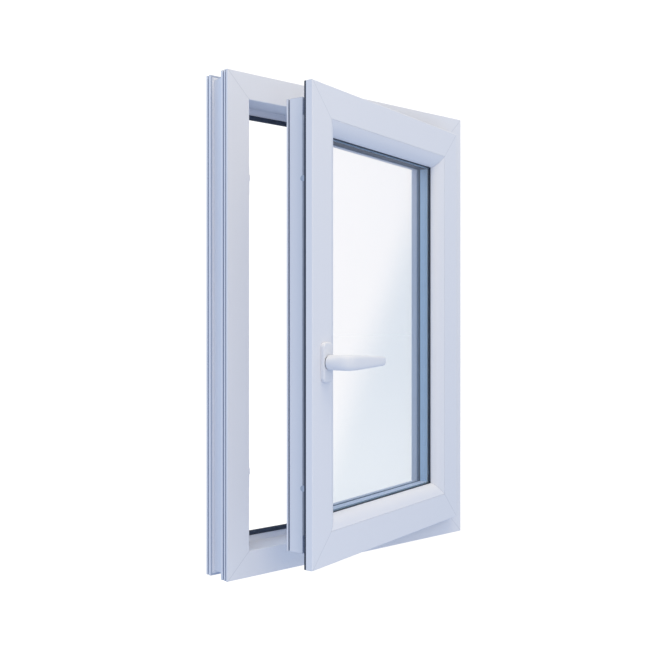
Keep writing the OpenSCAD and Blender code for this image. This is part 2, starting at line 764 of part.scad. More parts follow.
module lock_cams() {
  color(steel_grey) swing()
    for (z = [cam_low, cam_low + cam_span])
      translate([rod_x, groove_y, z]) rotate([0, -90, 0]) {
        cylinder(r = 3, h = rod_x - lip_w + 8.8);
        translate([0, 0, rod_x - lip_w + 0.5]) cylinder(r = cam_r, h = 8.3);
        translate([0, 0, rod_x - lip_w + 8.8]) cylinder(r = cam_r + 0.5, h = 1.5);
      }
}

frame_head();
frame_sill();
frame_jamb_lock();
frame_jamb_hinge();
frame_reinforcement();
frame_gasket();
drain_caps();
keeps();
keep_screws();
hinge_frame_leaves();
hinge_pins();
hinge_frame_screws();
sash_top_rail();
sash_bottom_rail();
sash_lock_stile();
sash_hinge_stile();
sash_reinforcement();
sash_gasket();
bead_top();
bead_bottom();
bead_left();
bead_right();
glazing_gasket_inner();
glazing_gasket_outer();
glass_inner();
glass_outer();
glass_spacer();
glass_edge_seal();
glazing_packers();
lock_faceplate();
faceplate_screws();
gear_case();
handle_base();
handle_screws();
rosette_cover();
hinge_sash_leaves();
hinge_sash_screws();
handle_lever();
handle_spindle();
drive_pinion();
drive_rod();
lock_cams();
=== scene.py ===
# %% [markdown]
# # An open casement window
# This lesson dresses a plastic casement window: an outer frame, a glazed sash that stands
# a little open, a lever handle, and the lock and hinges that work it. The hard parts come
# from an exact CAD model, already in place. Here they get their finishes, and the pieces
# that a drawing office leaves plain, such as the handle, are modelled again with soft forms.

# %% Load the measured model
import math

import bmesh
import bpy
from mathutils import Matrix, Vector


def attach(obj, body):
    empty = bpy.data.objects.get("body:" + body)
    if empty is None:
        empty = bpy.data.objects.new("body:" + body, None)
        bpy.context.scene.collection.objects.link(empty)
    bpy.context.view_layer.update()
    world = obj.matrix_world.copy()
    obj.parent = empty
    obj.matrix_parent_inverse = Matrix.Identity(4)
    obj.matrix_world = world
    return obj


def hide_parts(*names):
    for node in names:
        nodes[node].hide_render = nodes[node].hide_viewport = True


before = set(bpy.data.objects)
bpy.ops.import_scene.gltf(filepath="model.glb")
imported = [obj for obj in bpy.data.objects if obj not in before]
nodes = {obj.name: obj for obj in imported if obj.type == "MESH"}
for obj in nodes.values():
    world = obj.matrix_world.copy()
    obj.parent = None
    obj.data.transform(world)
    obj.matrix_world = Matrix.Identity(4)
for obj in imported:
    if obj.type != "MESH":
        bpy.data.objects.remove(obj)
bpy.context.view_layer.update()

# %% [markdown]
# A fitter measures a window in millimetres, from its left edge, its room face and its
# underside. Blender works in metres from the middle of the sill. Two matrices translate:
# one for things on the outer frame, and one for things on the sash, which has swung open
# about its hinge. Building a piece in its own fitter's millimetres and then moving the
# vertices by the matrix keeps every object at the origin, so that its patterns stay put.

# %% Rulers for the frame and the sash
MM = 0.001
FRAME_W, FRAME_H = 600, 875
SASH_W, SASH_H = 522, 797
SASH_OPEN = math.radians(15)
ROOM_FACE = -9
REVEAL, STAND_OFF = 39, 18
HINGE_X, HINGE_Y = 567.5, -7

on_frame = Matrix.Scale(MM, 4) @ Matrix.Translation((-FRAME_W / 2, ROOM_FACE, 0))
on_sash = (
    on_frame
    @ Matrix.Translation((HINGE_X, HINGE_Y, 0))
    @ Matrix.Rotation(SASH_OPEN, 4, "Z")
    @ Matrix.Translation((REVEAL - HINGE_X, -STAND_OFF - HINGE_Y, REVEAL))
)
print("sash corner stands at", [round(v, 4) for v in on_sash @ Vector((0, 0, 0))])

# %% [markdown]
# The camera stands as high as the middle of the window, to the left of it, and looks
# level, so that upright edges stay upright. It comes first, because every later choice of
# detail depends on how near things are.

# %% Camera
LENS, SENSOR = 50.596, 36
CAMERA_PLACE = (-1.186738, -1.298209, 0.436686)
CAMERA_YAW = math.radians(-40.614)
CAMERA_RISE = 0.0011
LEVEL = math.radians(90)
camera_data = bpy.data.cameras.new("window_camera")
camera_data.lens = LENS
camera_data.sensor_width = SENSOR
camera_data.shift_y = CAMERA_RISE
camera = bpy.data.objects.new("window_camera", camera_data)
camera.location = CAMERA_PLACE
camera.rotation_euler = (LEVEL, 0, CAMERA_YAW)
bpy.context.scene.collection.objects.link(camera)
bpy.context.scene.camera = camera
print("camera lens", LENS, "mm")

# %% [markdown]
# Finishes and pattern tools are both made of nodes. Writing each small sum as a node by
# hand hides the idea, so a wire that comes out of a node is wrapped in a class that knows
# plus, minus and times. `1 - mask` then adds the Math node by itself. Colours never go
# through it, because a Math node turns a colour grey.

# %% Wires that can be added and multiplied
class Wire:
    def __init__(self, owner, socket):
        self.owner = owner
        self.socket = socket

    def sum(self, operation, *terms):
        values = dict(enumerate(terms))
        return self.owner.node("ShaderNodeMath", {"operation": operation}, values)

    def __add__(self, other):
        return self.sum("ADD", self, other)

    def __radd__(self, other):
        return self.sum("ADD", other, self)

    def __sub__(self, other):
        return self.sum("SUBTRACT", self, other)

    def __rsub__(self, other):
        return self.sum("SUBTRACT", other, self)

    def __mul__(self, other):
        return self.sum("MULTIPLY", self, other)

    def __rmul__(self, other):
        return self.sum("MULTIPLY", other, self)

    def __truediv__(self, other):
        return self.sum("DIVIDE", self, other)

    def __rtruediv__(self, other):
        return self.sum("DIVIDE", other, self)

    def __pow__(self, other):
        return self.sum("POWER", self, other)

    def __abs__(self):
        return self.sum("ABSOLUTE", self)

    def under(self, limit):
        return self.sum("LESS_THAN", self, limit)

    def over(self, limit):
        return self.sum("GREATER_THAN", self, limit)

    def at_most(self, limit):
        return self.sum("MINIMUM", self, limit)

    def at_least(self, limit):
        return self.sum("MAXIMUM", self, limit)


# %% [markdown]
# Every other node comes from one method. It takes the node's type, then its settings,
# such as the operation, because a setting can change which sockets there are, and then
# the sockets, each with a number or a wire. The same method serves materials and
# Geometry Nodes, since both are trees of nodes and links.

# %% One method for every other node
class Tree:
    def __init__(self, tree):
        self.tree = tree

    def node(self, kind, settings=None, sockets=None, out=0):
        made = self.tree.nodes.new(kind)
        for key, value in (settings or {}).items():
            setattr(made, key, value)
        for key, value in (sockets or {}).items():
            if isinstance(value, Wire):
                self.tree.links.new(value.socket, made.inputs[key])
            else:
                made.inputs[key].default_value = value
        return Wire(self, made.outputs[out])


class Mix(Tree):
    """A finish while it is being mixed."""

    def __init__(self, name):
        self.material = bpy.data.materials.new(name)
        self.material.use_nodes = True
        super().__init__(self.material.node_tree)
        self.tree.nodes.clear()

    def finish(self, shader):
        self.node("ShaderNodeOutputMaterial", None, {"Surface": shader}, out=slice(0))
        print("finish", self.material.name, "has", len(self.tree.nodes), "nodes")
        return self.material


# %% [markdown]
# Patterns on this window follow either the frame or the sash. Object coordinates of the
# frame are already square to it. The sash stands open, so a Mapping node turns and shifts
# them back, and the pattern is then measured from the sash's own middle.

# %% Places measured from the middle of the frame or the sash
def along(mix, turned):
    """The place as one wire, and its x, y and z in metres, from the middle of the sash
    if turned, or else of the frame."""
    middle = on_frame @ Vector((FRAME_W / 2, 0, FRAME_H / 2))
    angle = 0
    if turned:
        middle = on_sash @ Vector((SASH_W / 2, 0, SASH_H / 2))
        angle = SASH_OPEN
    place = mix.node(
        "ShaderNodeMapping",
        {"vector_type": "TEXTURE"},
        {
            "Vector": mix.node("ShaderNodeTexCoord", out="Object"),
            "Location": middle,
            "Rotation": (0, 0, angle),
        },
    )
    split = mix.node("ShaderNodeSeparateXYZ", None, {"Vector": place})
    return place, [Wire(mix, socket) for socket in split.socket.node.outputs]


def noise(mix, place, stretch, scale, detail=2.0):
    """Grey noise from 0 to 1; a small number in stretch draws it out along that axis."""
    drawn = mix.node(
        "ShaderNodeVectorMath", {"operation": "MULTIPLY"}, {0: place, 1: stretch}
    )
    return mix.node(
        "ShaderNodeTexNoise",
        None,
        {"Vector": drawn, "Scale": scale, "Detail": detail, "Roughness": 0.55},
    )


# %% [markdown]
# The Mix node keeps a set of sockets for every kind of value, so its colour sockets are
# picked by their place in the list, which is written down once here.

# %% Mixing colours and raising a bump
COLOUR_A, COLOUR_B, COLOUR_OUT = 6, 7, 2


def tinted(mix, share, first, second):
    """A colour between two others, each a triple or a wire."""
    ends = {0: share}
    for place, colour in ((COLOUR_A, first), (COLOUR_B, second)):
        ends[place] = colour if isinstance(colour, Wire) else (*colour, 1)
    return mix.node("ShaderNodeMix", {"data_type": "RGBA"}, ends, out=COLOUR_OUT)


def raised(mix, height, strength, depth):
    """A bump that rises by depth, in metres, where height goes from 0 to 1."""
    return mix.node(
        "ShaderNodeBump", None, {"Strength": strength, "Distance": depth, "Height": height}
    )


def surface(mix, sockets):
    """Ends a finish with one Principled shader."""
    return mix.finish(mix.node("ShaderNodeBsdfPrincipled", None, sockets))


# %% [markdown]
# The frame, the sash and the beads are extruded plastic. Up close the skin is not dead
# flat: the die leaves very fine lines along each bar, and the gloss wanders a little. At
# every corner two bars are welded on the mitre, and the cleaned weld shows as a thin grey
# line. A point belongs to an upright bar where the nearest outer edge is a side, and the
# weld runs where both distances are equal, so neither needs a map or a picture. The
# narrow grooves round the outside and the corner behind the sash's flange, where the seal
# sits, are painted darker: painted shade for the shade that falls in them. Both are found
# by how deep a point lies.

# %% White extruded plastic
WHITE = (0.770, 0.785, 0.845)
WHITE_DEEP = (0.745, 0.765, 0.832)
WELD_GREY = (0.50, 0.53, 0.61)
WELD_HALF = 0.0007
# Colours and shares of the painted shade in the grooves and behind the sash's flange.
GROOVE_SHADE = (0.30, 0.36, 0.50)
FLANGE_CORNER_SHADE = (0.18, 0.24, 0.36)
GROOVE_TOP, GROOVE_FLOOR = 0.0005, 0.0036
CHANNEL_FRONT, CHANNEL_BACK = 0.0015, 0.0645
FLANGE, FLANGE_WIDTH, CORNER_DEPTH = 0.0135, 0.020, 0.007
CORNER_FADE = 1.6
CHANNEL_SHADE_SHARE, SASH_GROOVE_SHADE_SHARE, CORNER_SHADE_SHARE = 0.8, 0.7, 0.95
DIE_LINES, CLOUDS, SPECKS = 900, 4, 1500


def white_plastic(name, turned):
    """The bars' plastic, with its patterns laid to the sash if turned, or else the frame."""
    mix = Mix(name)
    place, (x, y, z) = along(mix, turned)
    wide, high = (SASH_W, SASH_H) if turned else (FRAME_W, FRAME_H)
    from_side = wide * MM / 2 - abs(x)
    from_end = high * MM / 2 - abs(z)
    upright = from_side.under(from_end)
    weld = abs(from_side - from_end).under(WELD_HALF)
    skin_depth = from_side.at_most(from_end)
    # Painted shade: how much darker colour the grooves and the corner behind the flange get.
    if turned:
        below = skin_depth - FLANGE_WIDTH
        fade = CORNER_FADE - CORNER_FADE * (y - FLANGE) / CORNER_DEPTH
        corner = fade.at_least(0).at_most(1) * y.over(FLANGE)
        corner = corner * skin_depth.over(GROOVE_TOP) * below.under(GROOVE_TOP)
        groove = below.over(GROOVE_TOP) * below.under(GROOVE_FLOOR) * y.over(FLANGE)
        painted_shade = (groove * SASH_GROOVE_SHADE_SHARE).at_least(corner * CORNER_SHADE_SHARE)
    else:
        inside = y.over(CHANNEL_FRONT) * y.under(CHANNEL_BACK)
        groove = skin_depth.over(GROOVE_TOP) * skin_depth.under(GROOVE_FLOOR)
        painted_shade = groove * inside * CHANNEL_SHADE_SHARE
    standing = noise(mix, place, (1, 1, 0.01), DIE_LINES)
    lying = noise(mix, place, (0.01, 1, 1), DIE_LINES)
    lines = standing * upright + lying * (1 - upright)
    cloud = noise(mix, place, (1, 1, 1), CLOUDS)
    speck = noise(mix, place, (1, 1, 1), SPECKS, 0)
    colour = tinted(mix, cloud * 0.8 + lines * 0.2, WHITE_DEEP, WHITE)
    # The painted shade is laid over the plastic's own colour here.
    colour = tinted(mix, painted_shade, colour, FLANGE_CORNER_SHADE if turned else GROOVE_SHADE)
    return surface(
        mix,
        {
            "Base Color": tinted(mix, weld * 0.5, colour, WELD_GREY),
            "Roughness": 0.34 + lines * 0.08 + weld * 0.2,
            "IOR": 1.46,
            "Normal": raised(mix, lines * 0.5 + speck * 0.5 - weld * 5, 0.12, 0.0001),
        },
    )


frame_plastic = white_plastic("white_plastic_frame", False)
sash_plastic = white_plastic("white_plastic_sash", True)

# %% [markdown]
# Seals are a rubber that is black with a blue cast, matt and slightly chalky where it has
# been handled, so both its colour and its roughness wander. The seal outside the glass is
# a grey rubber. Cured sealant, the blocks that carry the glass and the little drain covers
# differ from it only in colour and grain.

# %% Rubber, sealant and moulded plastic
def matt(name, first, second, rough, grain, depth):
    mix = Mix(name)
    place, _ = along(mix, False)
    cloud = noise(mix, place, (1, 1, 1), grain, 3)
    fine = noise(mix, place, (1, 1, 1), grain * 12, 1)
    return surface(
        mix,
        {
            "Base Color": tinted(mix, cloud, first, second),
            "Roughness": rough + (fine - 0.5) * 0.15,
            "Normal": raised(mix, fine * 0.6 + cloud * 0.4, 0.35, depth),
        },
    )


rubber = matt("black_rubber", (0.012, 0.021, 0.045), (0.024, 0.038, 0.070), 0.6, 60, 0.0002)
sealant = matt("edge_sealant", (0.045, 0.055, 0.080), (0.075, 0.085, 0.110), 0.6, 90, 0.0004)
grey_rubber = matt("grey_rubber", (0.13, 0.17, 0.25), (0.18, 0.23, 0.32), 0.6, 60, 0.0002)
packing = matt("blue_packing", (0.03, 0.10, 0.32), (0.05, 0.14, 0.40), 0.45, 120, 0.0002)
cap_white = matt("white_cap", (0.73, 0.75, 0.82), (0.77, 0.79, 0.86), 0.38, 150, 0.00005)
pore_dark = matt("pore_shadow", (0.02, 0.03, 0.05), (0.04, 0.05, 0.08), 0.8, 200, 0.0001)

# %% [markdown]
# The lock parts are steel with a zinc coat. A rolled plate has long fine scratches in the
# direction of rolling, and the zinc shows as paler and duller flakes. Both patterns are
# noise: one drawn out along the height, one not.

# %% Zinc-coated and bright steel
def steel(name, base, flake, rough, grain):
    mix = Mix(name)
    place, _ = along(mix, True)
    scratch = noise(mix, place, (1, 1, 0.02), 1400)
    spangle = noise(mix, place, (1, 1, 1), grain, 1)
    return surface(
        mix,
        {
            "Base Color": tinted(mix, spangle, base, flake),
            "Metallic": 1.0,
            "Roughness": rough + (scratch - 0.5) * 0.12 + (spangle - 0.5) * 0.1,
            "Normal": raised(mix, scratch, 0.25, 0.00008),
        },
    )


zinc = steel("zinc_plated_steel", (0.40, 0.44, 0.52), (0.54, 0.58, 0.66), 0.38, 300)
# The faceplate's zinc is painted darker than the other lock parts: painted shade for the recess
# behind the sash's flange, where it sits.
shaded_plate_zinc = steel("dull_zinc_plate", (0.26, 0.27, 0.31), (0.34, 0.35, 0.39), 0.45, 300)
bright = steel("bright_steel", (0.55, 0.57, 0.62), (0.66, 0.68, 0.73), 0.24, 400)
galvanised = steel("galvanised_steel", (0.38, 0.41, 0.46), (0.56, 0.59, 0.64), 0.48, 80)

# %% [markdown]
# The handle, the hinges and the keeps are painted with baked powder. Powder paint flows
# out into a skin with a very shallow ripple, like orange peel, a little glossier than the
# plastic beside it, which a thin coat layer gives.

# %% White powder paint
def powder_paint(name, first, second, rough):
    mix = Mix(name)
    place, _ = along(mix, True)
    ripple = noise(mix, place, (1, 1, 1), 420, 1)
    cloud = noise(mix, place, (1, 1, 1), 12)
    return surface(
        mix,
        {
            "Base Color": tinted(mix, cloud, first, second),
            "Roughness": rough + (cloud - 0.5) * 0.08,
            "Normal": raised(mix, ripple, 0.16, 0.00012),
            "Coat Weight": 0.05,
            "Coat Roughness": 0.35,
        },
    )


handle_paint = powder_paint("white_handle_paint", (0.73, 0.75, 0.81), (0.755, 0.77, 0.825), 0.5)
hinge_paint = powder_paint("white_hinge_paint", (0.75, 0.77, 0.83), (0.78, 0.80, 0.86), 0.45)

# %% [markdown]
# A window pane is seen through far more than it is seen. Refraction in a thin flat pane
# moves nothing that the eye can notice, and it would cost a lot of light. So the pane is
# mostly a Transparent shader, and a mirror takes over as it is seen more from the side.
# That share follows Schlick's rule: it starts from the little that a pane mirrors head on,
# and it is the same for both faces of a pane. A second, slightly darker and bluer
# Transparent shader covers the glass below a slanting line. It is a painted reflection:
# the dimmer tone that a pane shows where it mirrors a room instead of a bright wall.

# %% Clear glass
CLEAR = (0.980, 0.976, 0.976)
REFLECTION_TINT = (0.924, 0.937, 0.950)
SLANT = math.radians(55)
SLANT_START, SLANT_WIDTH = -0.070, 0.1385
HEAD_ON = 0.03


def clear_glass(name):
    mix = Mix(name)
    _, (x, y, z) = along(mix, True)
    # Painted reflection: below the slanting line the pane passes a darker tint that stands in
    # for a mirrored room.
    across = (x * math.sin(SLANT) - z * math.cos(SLANT) - SLANT_START) / SLANT_WIDTH
    slope = mix.node("ShaderNodeClamp", None, {"Value": across})
    reflection_share = slope * slope * (3 - 2 * slope)
    facing = mix.node("ShaderNodeLayerWeight", None, {"Blend": 0.5}, out="Facing")
    mirror = HEAD_ON + (1 - HEAD_ON) * facing ** 5
    clear, dim = [
        mix.node("ShaderNodeBsdfTransparent", None, {"Color": (*colour, 1)})
        for colour in (CLEAR, REFLECTION_TINT)
    ]
    through = mix.node("ShaderNodeMixShader", None, {0: reflection_share, 1: clear, 2: dim})
    shine = mix.node(
        "ShaderNodeBsdfGlossy", None, {"Color": (0.95, 0.97, 1, 1), "Roughness": 0.02}
    )
    return mix.finish(
        mix.node("ShaderNodeMixShader", None, {0: mirror, 1: through, 2: shine})
    )


glass = clear_glass("clear_glass")

# %% [markdown]
# Between the panes runs a blue-grey spacer bar of satin metal. Its colour follows the way
# that the surface faces: faces turned up are painted paler, painted light for the lower
# run, and faces turned down are painted near black, painted shade for the upper run.

# %% Spacer bar
SPACER_SIDE = (0.45, 0.62, 0.80)
SPACER_PAINTED_LIGHT = (0.66, 0.74, 0.88)
SPACER_PAINTED_SHADE = (0.004, 0.008, 0.03)


def spacer_metal(name):
    mix = Mix(name)
    place, _ = along(mix, True)
    satin = noise(mix, place, (1, 1, 1), 700, 1)
    facing = mix.node("ShaderNodeNewGeometry", out="Normal")
    split = mix.node("ShaderNodeSeparateXYZ", None, {"Vector": facing}, out="Z")
    up = split.at_least(0)
    down = (-1 * split).at_least(0)
    # Painted light and shade: faces turned up are tinted paler, and faces turned down near
    # black.
    colour = tinted(mix, up, SPACER_SIDE, SPACER_PAINTED_LIGHT)
    colour = tinted(mix, down, colour, SPACER_PAINTED_SHADE)
    return surface(
        mix,
        {
            "Base Color": colour,
            "Metallic": 0.0,
            "Roughness": 0.45 + satin * 0.1,
            "Normal": raised(mix, satin, 0.2, 0.0001),
        },
    )


spacer_finish = spacer_metal("grey_spacer")

# %% [markdown]
# Now the measured pieces get their finishes. A CAD node keeps its mesh exactly as drawn,
# and only the material in its slot changes.

# %% Dress the pieces that keep their measured shape
DRESS = {
    frame_plastic: ["frame_jamb_lock", "frame_jamb_hinge", "frame_head", "frame_sill"],
    sash_plastic: ["sash_lock_stile", "sash_hinge_stile", "sash_top_rail",
                   "sash_bottom_rail"],
    rubber: ["frame_gasket", "sash_gasket", "glazing_gasket_inner"],
    grey_rubber: ["glazing_gasket_outer"],
    sealant: ["glass_edge_seal"],
    packing: ["glazing_packers"],
    galvanised: ["frame_reinforcement", "sash_reinforcement"],
    zinc: ["gear_case", "handle_base", "drive_rod", "lock_cams"],
    bright: ["handle_screws", "handle_spindle", "drive_pinion", "hinge_pins"],
    glass: ["glass_inner", "glass_outer"],
    spacer_finish: ["glass_spacer"],
}
for finish, names in DRESS.items():
    for name in names:
        for place in nodes[name].material_slots:
            place.material = finish
dressed = sum(len(names) for names in DRESS.values())
print("dressed", dressed, "of", len(nodes), "CAD pieces; the others are made again")

# %% [markdown]
# A piece made here ends as one plain mesh whose object sits at the origin. Whatever
# modifiers shaped it are worked out once, on the evaluated object, and thrown away. Edges
# sharper than a small angle stay crisp and the rest is shaded smooth.

# %% Turning a shaped object into a plain piece
SHARP = math.radians(32)


def as_piece(rough_object, name, place, finish, body, stands_for):
    """A plain mesh of rough_object, moved by the matrix place, riding on a body."""
    bpy.context.view_layer.update()
    seen = rough_object.evaluated_get(bpy.context.evaluated_depsgraph_get())
    mesh = bpy.data.meshes.new_from_object(seen)
    mesh.transform(place)
    mesh.shade_smooth()
    mesh.set_sharp_from_angle(angle=SHARP)
    mesh.materials.clear()
    mesh.materials.append(finish)
    bpy.data.objects.remove(rough_object)
    piece = bpy.data.objects.new(name, mesh)
    bpy.context.scene.collection.objects.link(piece)
    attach(piece, body)
    if stands_for:
        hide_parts(*stands_for)
    print("piece", name, "has", len(mesh.polygons), "faces")
    return piece


def loose(name, verts, edges, faces):
    """A rough object to shape further."""
    mesh = bpy.data.meshes.new(name)
    mesh.from_pydata(verts, edges, faces)
    made = bpy.data.objects.new(name, mesh)
    bpy.context.scene.collection.objects.link(made)
    return made


# %% [markdown]
# The lever is one casting: a round neck leaves the rosette, bends through a right angle
# and thins into a flat blade that the palm closes on. It could be sculpted, but its shape
# is really a row of sections along a bent line. Each station gives a place on that line,
# the way it runs, half its height, half its thickness, and how square its section is.
# Joining the rings and subdividing gives the soft flow of a cast and painted lever.

# %% Rings that follow a bent line
def oval_ring(x, y, heading, high, thick, square, count=24):
    """A ring of points round (x, y), square to its heading in degrees."""
    turn = math.radians(heading)
    ring = []
    for k in range(count):
        c, s = math.cos(math.tau * k / count), math.sin(math.tau * k / count)
        side = thick * math.copysign(abs(c) ** (2 / square), c)
        up = high * math.copysign(abs(s) ** (2 / square), s)
        ring.append((x - side * math.sin(turn), y + side * math.cos(turn), up))
    return ring


def skin(name, rings, smooth_levels=0):
    """A closed skin over rings that all have the same number of points."""
    bm = bmesh.new()
    rows = [[bm.verts.new(p) for p in ring] for ring in rings]
    for low, high in zip(rows, rows[1:]):
        for k in range(len(low)):
            after = (k + 1) % len(low)
            bm.faces.new((low[k], low[after], high[after], high[k]))
    for row in (rows[0], rows[-1]):
        middle = bm.verts.new(sum((v.co for v in row), Vector()) / len(row))
        for k in range(len(row)):
            bm.faces.new((row[k], row[(k + 1) % len(row)], middle))
    bmesh.ops.recalc_face_normals(bm, faces=bm.faces)
    made = loose(name, [], [], [])
    bm.to_mesh(made.data)
    bm.free()
    if smooth_levels:
        smooth = made.modifiers.new("soften", "SUBSURF")
        smooth.levels = smooth.render_levels = smooth_levels
    return made


# %% Lever handle
SPINDLE_X, SPINDLE_Z = 37, 337
SPINDLE = Matrix.Translation((SPINDLE_X, 0, SPINDLE_Z))
LEVER_STATIONS = [
    # along the sash, towards the room, heading, half height, half thickness, squareness
    (0, -7.8, -90, 12.5, 12.5, 2.0),
    (0, -8.6, -90, 12.8, 12.8, 2.0),
    (0, -11.5, -90, 12.8, 12.5, 2.0),
    (0, -20, -90, 12.7, 10.6, 2.1),
    (0.3, -28, -87, 12.9, 9.0, 2.2),
    (1.9, -34.6, -74, 13.1, 7.9, 2.4),
    (5.8, -40.4, -50, 13.2, 7.0, 2.6),
    (11.8, -44.0, -22, 13.1, 6.4, 2.8),
    (19, -45.5, -6, 12.8, 6.0, 3.0),
    (35, -46.0, -1, 12.0, 5.7, 3.2),
    (60, -46.2, 0, 10.7, 5.3, 3.3),
    (85, -46.2, 0, 9.3, 4.8, 3.3),
    (103, -46.2, 0, 8.3, 4.4, 3.2),
    (109.5, -46.2, 0, 7.8, 4.1, 3.0),
    (112.2, -46.2, 0, 6.6, 3.2, 2.8),
    (113.0, -46.2, 0, 4.2, 1.8, 2.4),
]
lever = skin("lever", [oval_ring(*s) for s in LEVER_STATIONS], 2)
as_piece(lever, "lever_handle", on_sash @ SPINDLE, handle_paint, "handle",
         ["handle_lever"])

# %% [markdown]
# The rosette is a shallow moulded cover with a rolled edge, clipped over the plate that
# carries the handle. It is a stack of rounded rectangles that draws in towards the room.
# A slim bearing ring, set back under the neck, leaves the fine gap that lets the
# lever turn. It is made in black rubber as painted shade, so that the gap reads dark.

# %% Rosette
def rounded_ring(wide, high, radius, y, corner_points=9):
    """A rectangle with round corners, at the depth y."""
    ring = []
    for quarter, (sx, sz) in enumerate(((1, 1), (-1, 1), (-1, -1), (1, -1))):
        for k in range(corner_points):
            turn = math.pi / 2 * (quarter + k / (corner_points - 1))
            ring.append((
                sx * (wide / 2 - radius) + radius * math.cos(turn),
                y,
                sz * (high / 2 - radius) + radius * math.sin(turn),
            ))
    return ring


ROSETTE_LAYERS = [
    # width, height, corner radius, depth
    (28, 67, 9, -0.2), (28, 67, 9, -3.4), (27.8, 66.8, 8.9, -4.6), (27.1, 66.1, 8.7, -5.6),
    (25.8, 64.8, 8.2, -6.3), (23.6, 62.6, 7.4, -6.6), (18, 57, 6, -6.7),
]
BEARING_WIDTH, BEARING_BACK, BEARING_FRONT = 23, -6, -8.2


def stacked(name, layers):
    return skin(name, [rounded_ring(*layer) for layer in layers])


as_piece(stacked("rosette", ROSETTE_LAYERS), "handle_rosette", on_sash @ SPINDLE,
         handle_paint, "sash", ["rosette_cover"])
# Painted shade: the ring is black, so that the gap under the neck reads as shade.
bearing_shade = stacked("bearing_shade", [(BEARING_WIDTH, BEARING_WIDTH, BEARING_WIDTH / 2, y)
                              for y in (BEARING_BACK, BEARING_FRONT)])
as_piece(bearing_shade, "handle_bearing_shade", on_sash @ SPINDLE, rubber, "sash", [])

# %% [markdown]
# Screws repeat, so a Geometry Nodes tree makes one and sets it at every point. A pan head
# is a ball pressed flat below its middle, with two crossed bars cut out of it for the
# driver. Each point carries a direction named aim, out of the head, and the instance is
# turned to it. Sizes are inputs of the tree, so that one tree serves every screw.

# %% A bench for Geometry Nodes trees
class Bench(Tree):
    """A Geometry Nodes tree while it is being built."""

    def __init__(self, name):
        super().__init__(bpy.data.node_groups.new(name, "GeometryNodeTree"))
        self.socket("Geometry", "INPUT", "NodeSocketGeometry")
        self.entry = self.tree.nodes.new("NodeGroupInput")
        self.shape = Wire(self, self.entry.outputs["Geometry"])

    def socket(self, name, side, kind):
        return self.tree.interface.new_socket(name, in_out=side, socket_type=kind)

    def size(self, name):
        self.socket(name, "INPUT", "NodeSocketFloat")
        return Wire(self, self.entry.outputs[name])

    def vector(self, x=0, y=0, z=0):
        return self.node("ShaderNodeCombineXYZ", None, {"X": x, "Y": y, "Z": z})

    def moved(self, shape, offset=(0, 0, 0), turn=(0, 0, 0)):
        return self.node(
            "GeometryNodeTransform",
            None,
            {"Geometry": shape, "Translation": offset, "Rotation": turn},
        )

    def joined(self, *shapes):
        join = self.node("GeometryNodeJoinGeometry")
        for shape in shapes:
            self.tree.links.new(shape.socket, join.socket.node.inputs[0])
        return join

    def end(self, shape, finish):
        real = self.node("GeometryNodeRealizeInstances", None, {"Geometry": shape})
        painted = self.node(
            "GeometryNodeSetMaterial", None, {"Geometry": real, "Material": finish}
        )
        self.socket("Geometry", "OUTPUT", "NodeSocketGeometry")
        self.node("NodeGroupOutput", None, {"Geometry": painted}, out=slice(0))
        return self.tree


def grown(tree, seed_object, sizes):
    """Puts a tree on an object and sets its inputs, before it is ever evaluated."""
    tool = seed_object.modifiers.new(tree.name, "NODES")
    tool.node_group = tree
    for item in tree.interface.items_tree:
        if item.in_out == "INPUT" and item.name in sizes:
            tool[item.identifier] = float(sizes[item.name])
    return seed_object


# %% The screw tree
def screw_tree(finish):
    bench = Bench("cross_head_screws")
    head_r, head_h = bench.size("Head Radius"), bench.size("Head Height")
    shank_r, shank_l = bench.size("Shank Radius"), bench.size("Shank Length")
    slot_w = bench.size("Slot Width")
    ball = bench.node(
        "GeometryNodeMeshUVSphere", None, {"Segments": 28, "Rings": 14, "Radius": head_r}
    )
    place = bench.node("GeometryNodeInputPosition")
    split = bench.node("ShaderNodeSeparateXYZ", None, {"Vector": place})
    x, y, z = [Wire(bench, s) for s in split.socket.node.outputs]
    dome = bench.node(
        "GeometryNodeSetPosition",
        None,
        {"Geometry": ball, "Position": bench.vector(x, y, z.at_least(0) * head_h / head_r)},
    )
    bars = []
    for long, short in ((head_r * 1.3, slot_w), (slot_w, head_r * 1.3)):
        bar = bench.node(
            "GeometryNodeMeshCube", None, {"Size": bench.vector(long, short, head_h)}
        )
        bars.append(bench.moved(bar, bench.vector(0, 0, head_h)))
    cut = bench.node("GeometryNodeMeshBoolean", {"operation": "DIFFERENCE"}, {"Mesh 1": dome})
    for bar in bars:
        bench.tree.links.new(bar.socket, cut.socket.node.inputs["Mesh 2"])
    shank = bench.node(
        "GeometryNodeMeshCylinder",
        None,
        {"Vertices": 16, "Radius": shank_r, "Depth": shank_l},
    )
    screw = bench.joined(cut, bench.moved(shank, bench.vector(0, 0, shank_l * -0.5)))
    aim = bench.node(
        "GeometryNodeInputNamedAttribute", {"data_type": "FLOAT_VECTOR"}, {"Name": "aim"}
    )
    turn = bench.node("FunctionNodeAlignRotationToVector", {"axis": "Z"}, {"Vector": aim})
    placed = bench.node(
        "GeometryNodeInstanceOnPoints",
        None,
        {"Points": bench.shape, "Instance": screw, "Rotation": turn},
    )
    return bench.end(placed, finish)


def aimed_points(name, rows, edges=()):
    """Loose points, each with the direction that it aims in."""
    made = loose(name, [p for p, _ in rows], list(edges), [])
    aim = made.data.attributes.new("aim", "FLOAT_VECTOR", "POINT")
    for spot, (_, way) in zip(aim.data, rows):
        spot.vector = way
    return made


# %% [markdown]
# The screws sit where the fitter's drawing has them: two in each keep, two in each hinge
# leaf, and one at either end of the lock's faceplate. A screw's head points out of the
# hole, towards the hinge side or towards the lock side. Sizes are in millimetres.

